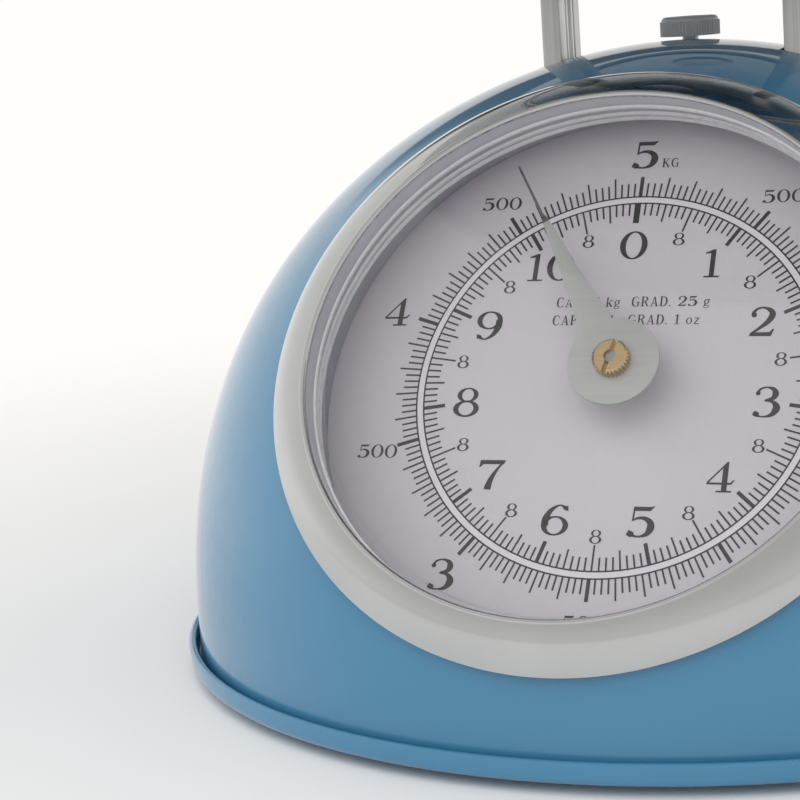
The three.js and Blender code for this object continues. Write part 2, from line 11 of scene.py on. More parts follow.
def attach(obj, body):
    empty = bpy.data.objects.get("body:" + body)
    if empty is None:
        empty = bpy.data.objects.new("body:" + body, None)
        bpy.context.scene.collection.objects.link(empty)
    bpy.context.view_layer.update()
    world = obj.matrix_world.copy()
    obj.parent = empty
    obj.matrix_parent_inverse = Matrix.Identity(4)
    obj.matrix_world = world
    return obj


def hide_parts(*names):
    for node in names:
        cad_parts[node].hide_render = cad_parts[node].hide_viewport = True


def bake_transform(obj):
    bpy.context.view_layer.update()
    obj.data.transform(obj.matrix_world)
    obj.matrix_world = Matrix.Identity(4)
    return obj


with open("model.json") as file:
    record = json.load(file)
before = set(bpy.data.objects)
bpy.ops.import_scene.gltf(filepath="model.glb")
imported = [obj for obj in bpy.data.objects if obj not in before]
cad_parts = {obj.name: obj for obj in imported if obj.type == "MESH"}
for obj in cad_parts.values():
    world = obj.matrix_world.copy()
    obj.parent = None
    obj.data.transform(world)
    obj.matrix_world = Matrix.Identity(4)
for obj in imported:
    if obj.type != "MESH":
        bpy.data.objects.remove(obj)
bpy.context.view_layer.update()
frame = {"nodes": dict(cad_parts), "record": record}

# ---- driving sizes, millimetres -------------------------------------------
MM = 0.001
PAN_Z = 2.0
PAN_R = 117.2
SHEET = 1.2
DOME_R = 114.67
DOME_Z0 = 11.0
DOME_H = 120.1
DOME_EXP_R = 1.934
DOME_EXP_Z = 2.205
DIAL_TILT, DIAL_Y, DIAL_Z, DIAL_R = 35.55, -60.86, 66.56, 62.0
BEZEL_TILT, BEZEL_Y, BEZEL_Z = 38.23, -75.2, 73.9
BEZEL_R, BEZEL_IN_R, BEZEL_H, BORE_R = 66.2, 56.7, 7.0, 63.2        # BORE_R: the hole in the dome
LENS_Z, LENS_R = 3.4, 56.3
POST_X, POST_W, POST_D, SLOT_GAP = 26.75, 4.3, 15.0, 0.8
KNOB_Y, KNOB_R, KNOB_TOP, STEM_R = 10.0, 6.6, 135.8, 1.8
SHAFT_X, POINTER_H, POINTER_REST, HUB_R = 2.0, 9.3, 30.1, 9.35
PRINT_UNIT = 42.0           # radius of the outer ring line
CARRIER_Z = 158.8
CARRIER_R = 48.0
BOWL_Z, BOWL_R, BOWL_H, BOWL_FOOT_R = 160.6, 120.0, 44.0, 38.0
CAMERA_AT = (133.33, -502.83, 148.69)       # its angles are in degrees
CAMERA_AZ, CAMERA_EL, CAMERA_ROLL, CAMERA_LENS = 22.148, 10.226, -3.906, 105.366


# ---- placing --------------------------------------------------------------
def face_matrix(tilt, y, z):
    """Local x right, y up the tilted face, z out of it, in metres."""
    return Matrix.Translation((0, y * MM, z * MM)) @ Matrix.Rotation(math.radians(90 - tilt), 4, "X")


DIAL = face_matrix(DIAL_TILT, DIAL_Y, DIAL_Z)
SHAFT = DIAL @ Matrix.Translation((SHAFT_X * MM, 0, 0))
BEZEL = face_matrix(BEZEL_TILT, BEZEL_Y, BEZEL_Z)


def add_mesh(name, verts, faces, matrix=None, smooth=None):
    """New object from millimetre vertices; smooth is the crease angle in degrees."""
    mesh = bpy.data.meshes.new(name)
    mesh.from_pydata([Vector(v) * MM for v in verts], [], faces)
    if matrix is not None:
        mesh.transform(matrix)
    mesh.validate()
    obj = bpy.data.objects.new(name, mesh)
    bpy.context.scene.collection.objects.link(obj)
    if smooth is not None:
        shade(obj, smooth)
    return obj


def shade(obj, angle):
    obj.data.shade_smooth()
    obj.data.set_sharp_from_angle(angle=math.radians(angle))


def recalc(obj):
    bm = bmesh.new()
    bm.from_mesh(obj.data)
    bmesh.ops.remove_doubles(bm, verts=bm.verts, dist=1e-7)
    bmesh.ops.recalc_face_normals(bm, faces=bm.faces)
    bm.to_mesh(obj.data)
    bm.free()


def lathe(name, profile, segments, matrix=None, smooth=35, closed=False):
    """Body of revolution about Z. A profile that is not closed starts and ends on the axis."""
    verts, rings = [], []
    for r, z in profile:
        if r < 1e-6:
            rings.append([len(verts)])
            verts.append((0, 0, z))
        else:
            rings.append(list(range(len(verts), len(verts) + segments)))
            for i in range(segments):
                a = 2 * math.pi * i / segments
                verts.append((r * math.cos(a), r * math.sin(a), z))
    faces = []
    for low, high in zip(rings, rings[1:] + rings[:1] if closed else rings[1:]):
        for i in range(segments):
            j = (i + 1) % segments
            if len(low) == 1 and len(high) == 1:
                continue
            if len(low) == 1:
                faces.append((low[0], high[j], high[i]))
            elif len(high) == 1:
                faces.append((low[i], low[j], high[0]))
            else:
                faces.append((low[i], low[j], high[j], high[i]))
    obj = add_mesh(name, verts, faces, matrix)
    recalc(obj)
    shade(obj, smooth)
    return obj


def arc(cx, cz, r, start, end, steps):
    """Points on a circle of the profile plane, angles in degrees."""
    return [(cx + r * math.cos(math.radians(start + (end - start) * i / steps)),
             cz + r * math.sin(math.radians(start + (end - start) * i / steps))) for i in range(steps + 1)]


def circle(r, count, x=0.0, y=0.0):
    turn = [2 * math.pi * i / count for i in range(count)]
    return [(x + r * math.cos(a), y + r * math.sin(a)) for a in turn]


def knurl(ribs, r_out, r_in, y=0.0):
    """Round outline with ribs: two points on the outer radius, two on the inner, and so on."""
    outline = []
    for i in range(ribs * 4):
        a = 2 * math.pi * i / (ribs * 4)
        r = r_out if i % 4 in (0, 1) else r_in
        outline.append((r * math.cos(a), y + r * math.sin(a)))
    return outline


def extrude(name, outline, z0, z1, matrix=None):
    n = len(outline)
    verts = [(x, y, z) for z in (z0, z1) for x, y in outline]
    faces = [tuple(range(n - 1, -1, -1)), tuple(range(n, 2 * n))]
    faces += [(i, (i + 1) % n, n + (i + 1) % n, n + i) for i in range(n)]
    return add_mesh(name, verts, faces, matrix)


def prism(name, outline, z0, z1, matrix=None, bevel=0.0, smooth=35):
    """Extruded outline in the local XY plane, with rounded edges if bevel is not 0."""
    obj = extrude(name, outline, z0, z1, matrix)
    recalc(obj)
    if bevel:
        mod = obj.modifiers.new("edge", "BEVEL")
        mod.width = bevel * MM
        mod.segments = 2
        mod.limit_method = "ANGLE"
        mod.angle_limit = math.radians(40)
    bake_modifiers(obj)
    shade(obj, smooth)
    return obj


def cylinder(name, r, z0, z1, matrix=None, x=0.0, y=0.0, segments=64):
    return extrude(name, circle(r, segments, x, y), z0, z1, matrix)


def tube(name, rows, matrix, smooth):
    """Closed tube through rows of corner points, with a cap at each end."""
    n = len(rows[0])
    verts = [corner for row in rows for corner in row]
    faces = [tuple(range(n - 1, -1, -1)), tuple(range(len(verts) - n, len(verts)))]
    for i in range(len(rows) - 1):
        for j in range(n):
            k = (j + 1) % n
            faces.append((n * i + j, n * i + k, n * i + n + k, n * i + n + j))
    obj = add_mesh(name, verts, faces, matrix, smooth)
    recalc(obj)
    return obj


def bake_modifiers(obj):
    bpy.context.view_layer.update()
    evaluated = obj.evaluated_get(bpy.context.evaluated_depsgraph_get())
    mesh = bpy.data.meshes.new_from_object(evaluated)
    obj.modifiers.clear()
    old = obj.data
    obj.data = mesh
    bpy.data.meshes.remove(old)


def cuboid(name, size, centre, matrix=None):
    (w, d, h), (x, y, z) = size, centre
    signs = (-1, 1)
    verts = [(x + i * w / 2, y + j * d / 2, z + k * h / 2) for i in signs for j in signs for k in signs]
    faces = [(0, 1, 3, 2), (4, 6, 7, 5), (0, 4, 5, 1), (2, 3, 7, 6), (0, 2, 6, 4), (1, 5, 7, 3)]
    return add_mesh(name, verts, faces, matrix)


def cut(obj, *tools):
    """Boolean difference with throwaway tools, applied at once."""
    for tool in tools:
        recalc(tool)
        mod = obj.modifiers.new("cut", "BOOLEAN")
        mod.operation = "DIFFERENCE"
        mod.solver = "EXACT"
        mod.object = tool
        bake_modifiers(obj)
        bpy.data.objects.remove(tool)


# ---- shader nodes ---------------------------------------------------------
def separate(tree, vector):
    node = tree.nodes.new("ShaderNodeSeparateXYZ")
    tree.links.new(vector, node.inputs["Vector"])
    return node.outputs


def math_node(tree, operation, *values):
    """Math node; a value is either another node's output or a number."""
    node = tree.nodes.new("ShaderNodeMath")
    node.operation = operation
    for socket, value in zip(node.inputs, values):
        if isinstance(value, float):
            socket.default_value = value
        else:
            tree.links.new(value, socket)
    return node.outputs[0]


def map_range(tree, value, source, target, interpolation="SMOOTHSTEP"):
    """Change of a value through the target span while the input goes through the source span."""
    node = tree.nodes.new("ShaderNodeMapRange")
    node.interpolation_type = interpolation
    for key, number in zip(("From Min", "From Max", "To Min", "To Max"), (*source, *target)):
        node.inputs[key].default_value = number
    tree.links.new(value, node.inputs["Value"])
    return node.outputs["Result"]


# ---- materials ------------------------------------------------------------
class Nodes:
    """Small helper round one material's node tree."""

    def __init__(self, name):
        self.material = bpy.data.materials.new(name)
        self.material.use_nodes = True
        self.tree = self.material.node_tree
        self.shader = self.tree.nodes["Principled BSDF"]
        self.coords = self.tree.nodes.new("ShaderNodeTexCoord").outputs["Object"]

    def link(self, a, b):
        self.tree.links.new(a, b)

    def set(self, **values):
        for key, value in values.items():
            self.shader.inputs[key.replace("_", " ")].default_value = value

    def mapping(self, scale):
        node = self.tree.nodes.new("ShaderNodeMapping")
        node.inputs["Scale"].default_value = scale
        self.link(self.coords, node.inputs["Vector"])
        return node.outputs["Vector"]

    def noise(self, scale, detail=3.0, vector=None, roughness=0.5):
        node = self.tree.nodes.new("ShaderNodeTexNoise")
        node.inputs["Scale"].default_value = scale
        node.inputs["Detail"].default_value = detail
        node.inputs["Roughness"].default_value = roughness
        self.link(vector or self.coords, node.inputs["Vector"])
        return node.outputs["Fac"]

    def ramp(self, fac, low, high, start=0.3, end=0.7):
        node = self.tree.nodes.new("ShaderNodeValToRGB")
        for element, position, color in zip(node.color_ramp.elements, (start, end), (low, high)):
            element.position = position
            element.color = (*color, 1)
        self.link(fac, node.inputs["Fac"])
        return node.outputs["Color"]

    def span(self, fac, low, high):
        return map_range(self.tree, fac, (0.3, 0.7), (low, high), "LINEAR")

    def bump(self, height, distance, strength=1.0):
        node = self.tree.nodes.new("ShaderNodeBump")
        node.inputs["Distance"].default_value = distance
        node.inputs["Strength"].default_value = strength
        self.link(height, node.inputs["Height"])
        return node.outputs["Normal"]

    def use(self, socket, output):
        self.link(output, self.shader.inputs[socket])


def paint_material():
    """Gloss enamel: even colour with a faint drift, and a slight orange peel in its smooth clear coat."""
    m = Nodes("gloss_blue_paint")
    m.use("Base Color", m.ramp(m.noise(9, 2), (0.044, 0.200, 0.352), (0.052, 0.215, 0.373)))
    m.use("Roughness", m.span(m.noise(240, 4), 0.42, 0.5))
    peel = m.bump(m.noise(130, 2), 0.00002, 0.12)
    m.use("Normal", peel)
    m.use("Coat Normal", peel)
    m.set(Specular_IOR_Level=0.25, Coat_Weight=1.0, Coat_Roughness=0.03, Coat_IOR=1.5)
    return m.material


def chrome_material():
    m = Nodes("polished_chrome")
    m.use("Base Color", m.ramp(m.noise(60, 3), (0.565, 0.57, 0.57), (0.595, 0.60, 0.60)))
    m.use("Roughness", m.span(m.noise(900, 5), 0.04, 0.08))
    m.use("Normal", m.bump(m.noise(90, 2), 0.00001, 0.2))
    m.set(Metallic=1.0)
    return m.material


def brushed_material(name, low, high, stretch, rough=(0.28, 0.42), depth=0.000006, metallic=1.0):
    """Brushed metal: the noise is drawn out along the axis with the smallest stretch number."""
    m = Nodes(name)
    grain = m.noise(1.0, 6, m.mapping(stretch), 0.7)
    cloud = m.noise(70, 3)
    m.use("Base Color", m.ramp(grain, low, high, 0.35, 0.65))
    m.use("Roughness", m.span(cloud, *rough))
    m.use("Normal", m.bump(grain, depth, 0.6))
    m.set(Metallic=metallic)
    return m.material


def turned_material(name, low, high):
    """Metal spun about Z: rings of fine scratches."""
    m = Nodes(name)
    axes = separate(m.tree, m.coords)
    squares = [math_node(m.tree, "MULTIPLY", axes[axis], axes[axis]) for axis in ("X", "Y")]
    join = m.tree.nodes.new("ShaderNodeCombineXYZ")
    m.link(math_node(m.tree, "SQRT", math_node(m.tree, "ADD", *squares)), join.inputs["X"])
    m.link(axes["Z"], join.inputs["Z"])
    rings = m.noise(3200, 3, join.outputs["Vector"], 0.6)
    m.use("Base Color", m.ramp(rings, low, high))
    m.use("Roughness", m.span(m.noise(50, 3), 0.2, 0.32))
    m.use("Normal", m.bump(rings, 0.000004, 0.5))
    m.set(Metallic=1.0)
    return m.material


def card_material():
    m = Nodes("satin_dial_card")
    m.use("Base Color", m.ramp(m.noise(900, 4), (0.575, 0.547, 0.595), (0.590, 0.562, 0.610)))
    m.use("Roughness", m.span(m.noise(300, 3), 0.42, 0.52))
    m.use("Normal", m.bump(m.noise(2500, 2), 0.000002, 0.3))
    return m.material


def ink_material(name, low, high):
    m = Nodes(name)
    m.use("Base Color", m.ramp(m.noise(2600, 4), low, high))
    m.use("Roughness", m.span(m.noise(700, 2), 0.4, 0.55))
    return m.material


def lens_material():
    """Clear moulded plastic: a mirror seen only as strongly as a bare surface reflects at that slant."""
    m = Nodes("clear_plastic")
    slant = m.tree.nodes.new("ShaderNodeLayerWeight")
    slant.inputs["Blend"].default_value = 0.5
    grazing = math_node(m.tree, "POWER", slant.outputs["Facing"], 5.0)
    m.use("Alpha", map_range(m.tree, grazing, (0, 1), (LENS_MIRROR, 1), "LINEAR"))
    m.use("Base Color", m.ramp(m.noise(30, 2), (0.88, 0.90, 0.93), (0.94, 0.95, 0.97)))
    m.use("Roughness", m.span(m.noise(40, 2), 0.012, 0.03))
    m.use("Normal", m.bump(m.noise(18, 1), 0.00006, 0.25))
    m.set(Metallic=1.0)
    return m.material


def plastic_material(name, low, high, rough=(0.45, 0.6), grain=1800, depth=0.00002):
    m = Nodes(name)
    m.use("Base Color", m.ramp(m.noise(60, 3), low, high))
    m.use("Roughness", m.span(m.noise(400, 3), *rough))
    m.use("Normal", m.bump(m.noise(grain, 3), depth, 0.5))
    return m.material


LENS_MIRROR = 0.045         # share of light the lens mirrors when seen straight on
# Spun steel is kept darker than bare stainless: painted shade, so the bowl's shaded underside mirrors dark
# in the lens. The ramp between the two ends is the random ring tone.
SPUN_DARK, SPUN_LIGHT = (0.42, 0.43, 0.44), (0.52, 0.53, 0.54)
BRUSH_ALONG_X, BRUSH_ALONG_Z = (40, 900, 900), (600, 600, 20)
MATERIALS = {
    "paint": paint_material(),
    "chrome": chrome_material(),
    "steel": brushed_material("brushed_steel_plate", (0.36, 0.37, 0.36), (0.50, 0.51, 0.50), BRUSH_ALONG_Z),
    "stainless": turned_material("spun_stainless", SPUN_DARK, SPUN_LIGHT),
    "clear": lens_material(),
    "dial": card_material(),
    "black": plastic_material("black_moulding", (0.012, 0.012, 0.013), (0.022, 0.022, 0.024)),
    "rubber": plastic_material("foot_rubber", (0.010,) * 3, (0.020,) * 3, (0.75, 0.9), 900, 0.00005),
    "brass": turned_material("turned_brass", (0.56, 0.40, 0.19), (0.72, 0.53, 0.28)),
    "spring": brushed_material("spring_wire", (0.45, 0.46, 0.47), (0.62, 0.63, 0.64), (300, 300, 300)),
}
SKIRT = plastic_material("moulded_skirt", (0.46, 0.46, 0.51), (0.54, 0.53, 0.58),
                         (0.35, 0.5), 60, 0.00003)
# Rib colour: lighter than the wall, a painted highlight standing in for the glints on the moulded ribs, on
# top of their real gloss.
SKIRT_RIB_PAINTED_HIGHLIGHT = plastic_material("moulded_skirt_rib_painted_highlight", (0.72, 0.72, 0.74), (0.80, 0.80, 0.82),
                             (0.22, 0.32), 60, 0.00001)
# Foot colour: darker than the wall, painted shade for the flare's foot, which faces the card in shadow.
SKIRT_FOOT_PAINTED_SHADE = plastic_material("moulded_skirt_foot_painted_shade", (0.26, 0.27, 0.32), (0.32, 0.33, 0.38),
                              (0.5, 0.65), 60, 0.00003)
INK = ink_material("dial_ink", (0.010, 0.007, 0.009), (0.020, 0.016, 0.018))
BAND = ink_material("dial_band_white", (0.70, 0.67, 0.73), (0.74, 0.71, 0.77))
POINTER_METAL = brushed_material("brushed_pointer", (0.425, 0.436, 0.425), (0.465, 0.476, 0.465),
                                 BRUSH_ALONG_X, (0.38, 0.48), 0.000002, 0.35)
NEEDLE_METAL = brushed_material("dark_needle_edge", (0.17, 0.174, 0.17), (0.25, 0.254, 0.25),
                                BRUSH_ALONG_X, (0.4, 0.5))
POST_METAL = brushed_material("post_steel", (0.50, 0.50, 0.49), (0.64, 0.64, 0.63),
                              (1400, 1400, 12), (0.3, 0.42))
KNOB_GREY = plastic_material("grey_knob", (0.40, 0.41, 0.42), (0.48, 0.49, 0.50), (0.3, 0.45), 900, 0.00001)


def finish_piece(obj, slot, body, replaces=(), material=None):
    obj.data.materials.clear()
    obj.data.materials.append(material or MATERIALS[slot])
    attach(obj, body)
    if replaces:
        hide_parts(*replaces)
    return obj


def dress_cad_nodes():
    """Every carried-over CAD node gets its slot's procedural material."""
    for entry in frame["record"]["subparts"]:
        node = frame["nodes"][entry["node"]]
        node.data.materials.clear()
        node.data.materials.append(MATERIALS[entry["material_slot"]])


# ---- dome and pan ---------------------------------------------------------
def dome_point(s, inset=0.0):
    r = (DOME_R - inset) * math.cos(s) ** (2 / DOME_EXP_R)
    z = DOME_Z0 + (DOME_H - inset) * math.sin(s) ** (2 / DOME_EXP_Z)
    return r, z


def dome_normal(p):
    """Outward direction of the dome skin at a point in millimetres."""
    if p.z <= DOME_Z0:
        return Vector((p.x, p.y, 0)).normalized()
    r = math.hypot(p.x, p.y)
    up = DOME_EXP_Z / DOME_H * ((p.z - DOME_Z0) / DOME_H) ** (DOME_EXP_Z - 1)
    if r < 1e-6:
        return Vector((0, 0, 1))
    out = DOME_EXP_R / DOME_R * (r / DOME_R) ** (DOME_EXP_R - 1)
    return Vector((p.x / r * out, p.y / r * out, up)).normalized()


def dome_error(p):
    """How far a point is from the dome skin, as a share of its size."""
    high = max(0.0, (p.z - DOME_Z0) / DOME_H)
    return abs((math.hypot(p.x, p.y) / DOME_R) ** DOME_EXP_R + high ** DOME_EXP_Z - 1)


def set_dome_normals(mesh):
    """True normals on the outer skin, so that the boolean cuts leave no shading marks."""
    mesh.shade_smooth()
    normals = [Vector((0, 0, 0))] * len(mesh.loops)
    for face in mesh.polygons:
        points = [mesh.vertices[v].co / MM for v in face.vertices]
        skin = all(dome_error(p) < 2e-3 for p in points) and face.normal.dot(dome_normal(points[0])) > 0.5
        for loop, p in zip(face.loop_indices, points):
            normals[loop] = dome_normal(p) if skin else face.normal.copy()
    mesh.normals_split_custom_set(normals)


def make_dome():
    """Drawn shell with an inward flange at its foot, cut for the dial, the posts and the knob's stem."""
    rim, top, flange_r = PAN_Z + SHEET + 0.3, DOME_Z0 + DOME_H, 100
    steps, inner_steps = 72, 24
    outer = [(DOME_R, rim), (DOME_R, 6)] + [dome_point(math.pi / 2 * i / steps) for i in range(steps)]
    inner = [dome_point(math.pi / 2 * i / inner_steps, SHEET) for i in range(inner_steps)]
    profile = outer + [(0, top), (0, top - SHEET)] + inner[::-1]
    profile += [(DOME_R - SHEET, rim + SHEET), (flange_r, rim + SHEET), (flange_r, rim)]
    dome = lathe("dome_skin", profile + profile[:1], 288)
    slot_size = (POST_W + 2 * SLOT_GAP, POST_D + 2 * SLOT_GAP, 30)
    slots = [cuboid("slot", slot_size, (side * POST_X, 0, 125)) for side in (-1, 1)]
    cut(dome, cylinder("bore", BORE_R, -40, 60, BEZEL, segments=160), *slots,
        cylinder("stem_hole", STEM_R + 0.4, 110, 140, None, 0, KNOB_Y, 32))
    set_dome_normals(dome.data)
    finish_piece(dome, "paint", "housing", ["dome_body"])


def make_pan():
    """Shallow pan: rounded corner, upturned wall and a rolled lip that stands off the dome."""
    top, corner, roll = PAN_Z + SHEET, 1.8, 0.85
    floor_r = PAN_R - corner
    lip = arc(PAN_R - roll, PAN_Z + 3.8, roll, 0, 180, 10)
    profile = [(0, PAN_Z), (floor_r, PAN_Z)] + arc(floor_r, PAN_Z + corner, corner, -90, 0, 8)[1:-1]
    profile += [(PAN_R, PAN_Z + 1.9)] + lip
    profile += [(115.5, top + 0.5), (115.2, top + 0.1), (114.9, top), (0, top)]
    finish_piece(lathe("pan_skin", profile, 288), "paint", "housing", ["base_pan"])


# ---- bezel, lens, dial ----------------------------------------------------
SKIRT_TOP = 5.95
SKIRT_RIBS = (1.6, -1.5, -4.0)              # heights of the ribs inside the moulded side wall
SKIRT_FOOT_R, SKIRT_FOOT_Y = 61.3, -0.9     # its foot on the card
BEZEL_LEAN = Vector((-0.3, -0.4, 0))        # the inner lip sits this far off the outer edge's axis


def smooth_step(low, high, x):
    t = max(0.0, min(1.0, (x - low) / (high - low)))
    return t * t * (3 - 2 * t)


def crowned(start, end, rise, steps):
    """Points from start to end along a shallow arc that stands rise outside the chord."""
    start, end = Vector(start), Vector(end)
    side = Vector((end.y - start.y, start.x - end.x)).normalized()
    return [tuple(start.lerp(end, i / steps) + side * (rise * 4 * (i / steps) * (1 - i / steps)))
            for i in range(steps + 1)]


def make_bezel():
    """Pressed ring: rolled outer edge, gently crowned face, rounded lip and a short inner wall."""
    edge = [(BEZEL_R - 0.75, -0.2)] + arc(BEZEL_R - 0.6, 0.4, 0.6, -90, 20, 8)
    face = crowned((BEZEL_R - 0.12, 0.75), (BEZEL_IN_R + 0.95, BEZEL_H - 0.12), 0.7, 28)
    lip = arc(BEZEL_IN_R + 0.7, BEZEL_H - 0.7, 0.7, 75, 180, 10)
    wall = [(BEZEL_IN_R, SKIRT_TOP + 0.1), (BEZEL_IN_R + 0.9, SKIRT_TOP + 0.1)]
    inside = [(58.4, 5.2), (60, 4), (61.8, 2.7), (61.8, -5)]
    inside += [(62.7, -5), (62.7, 0.6), (64.2, 0.8), (65.1, 0.2)]
    ring = lathe("bezel_skin", edge + face + lip + wall + inside, 320, BEZEL, 40, closed=True)
    for vert in ring.data.vertices:
        local = BEZEL.inverted() @ vert.co
        lean = max(0.0, min(1.0, local.z / MM / BEZEL_H))
        lean *= smooth_step(67, 61, math.hypot(local.x, local.y) / MM)
        vert.co += BEZEL.to_3x3() @ (BEZEL_LEAN * MM * lean)
    finish_piece(ring, "chrome", "housing", ["bezel_ring"])


def loft(name, rows, segments, smooth):
    """Closed ring through rows of (matrix, centre y, radius, z)."""
    verts = []
    for matrix, cy, r, z in rows:
        for i in range(segments):
            a = 2 * math.pi * i / segments
            verts.append(matrix @ (Vector((r * math.cos(a), cy + r * math.sin(a), z)) * MM) / MM)
    faces = []
    for k in range(len(rows)):
        low, high = k * segments, (k + 1) % len(rows) * segments
        for i in range(segments):
            j = (i + 1) % segments
            faces.append((low + i, low + j, high + j, high + i))
    obj = add_mesh(name, verts, faces)
    recalc(obj)
    shade(obj, smooth)
    return obj


def make_lens():
    """Clear front disc with a rounded corner."""
    z, r, thick, corner = LENS_Z, LENS_R, 1.2, 1.0
    front = [(0, z), (30, z)] + arc(r - corner, z - corner, corner, 90, 0, 8)
    front += [(r, z - 1.5), (r - 1.3, z - 1.5)] + arc(r - 2.3, z - 1.0 - thick, corner, 0, 90, 6)
    front += [(30, z - thick), (0, z - thick)]
    lens = lathe("lens_front", front, 224, BEZEL, 40)
    finish_piece(lens, "clear", "housing", ["dial_lens"])


def make_skirt():
    """Moulded side wall from the bezel lip to the card: three ribs, then a flare that stands on the card."""
    top, waist, thick, shoulder, rib, segments = (57.0, SKIRT_TOP), (58.1, -5.0), 0.4, 2.6, 0.4, 224
    wall, bright, foot = range(3)
    rows, kinds = [(BEZEL, 0, *top), (BEZEL, 0, top[0], shoulder)], [wall]
    for height in SKIRT_RIBS:
        r = top[0] + (waist[0] - top[0]) * smooth_step(2.0, waist[1], height)
        for dr, dz in ((0, 0.55), (-rib, 0.25), (-rib, -0.25), (0, -0.55)):
            rows.append((BEZEL, 0, r + dr, height + dz))
        # bright: the ribs get the lighter colour, a painted highlight
        kinds += [wall, bright, bright, bright]
    rows += [(BEZEL, 0, *waist), (DIAL, SKIRT_FOOT_Y, SKIRT_FOOT_R, 0.05)]
    # foot: the flare on the card gets the darker colour, painted shade
    kinds += [wall, foot, foot]
    rows += [(DIAL, SKIRT_FOOT_Y, SKIRT_FOOT_R + thick, 0.05), (BEZEL, 0, waist[0] + thick, waist[1])]
    rows += [(BEZEL, 0, top[0] + thick, shoulder), (BEZEL, 0, top[0] + thick, top[1])]
    kinds += [wall] * (len(rows) - len(kinds))
    skirt = loft("lens_skirt", rows, segments, 30)
    finish_piece(skirt, "clear", "housing", material=SKIRT)
    skirt.data.materials.append(SKIRT_RIB_PAINTED_HIGHLIGHT)
    skirt.data.materials.append(SKIRT_FOOT_PAINTED_SHADE)
    for face in skirt.data.polygons:
        face.material_index = kinds[face.index // segments]


def make_dial_card():
    thick, edge = 0.8, 0.1
    profile = [(0, -thick), (DIAL_R, -thick), (DIAL_R, -edge), (DIAL_R - edge, 0), (0, 0)]
    card = lathe("dial_card", profile, 192, DIAL, 40)
    cut(card, cylinder("shaft_hole", 4, -3, 3, SHAFT))
    shade(card, 40)
    finish_piece(card, "dial", "housing", ["dial_plate"])


# ---- printing -------------------------------------------------------------
# Glyphs are drawn in a box one unit high with the baseline at 0. Each is its advance and its parts.
def line(*points):
    """Stroke through (x, y, width) points."""
    return "line", points


def bar(x0, x1, y=0.03, width=0.06):
    """Level stroke; the defaults draw a foot serif."""
    return line((x0, y, width), (x1, y, width))


def stem(x, width):
    return line((x, 0.03, width), (x, 0.97, width))


def shape(*points):
    return "shape", points


def oval(x, y, outer_x, outer_y, inner_x, inner_y):
    return "oval", (x, y, outer_x, outer_y, inner_x, inner_y)


def dot(x, y, r):
    return "dot", (x, y, r)


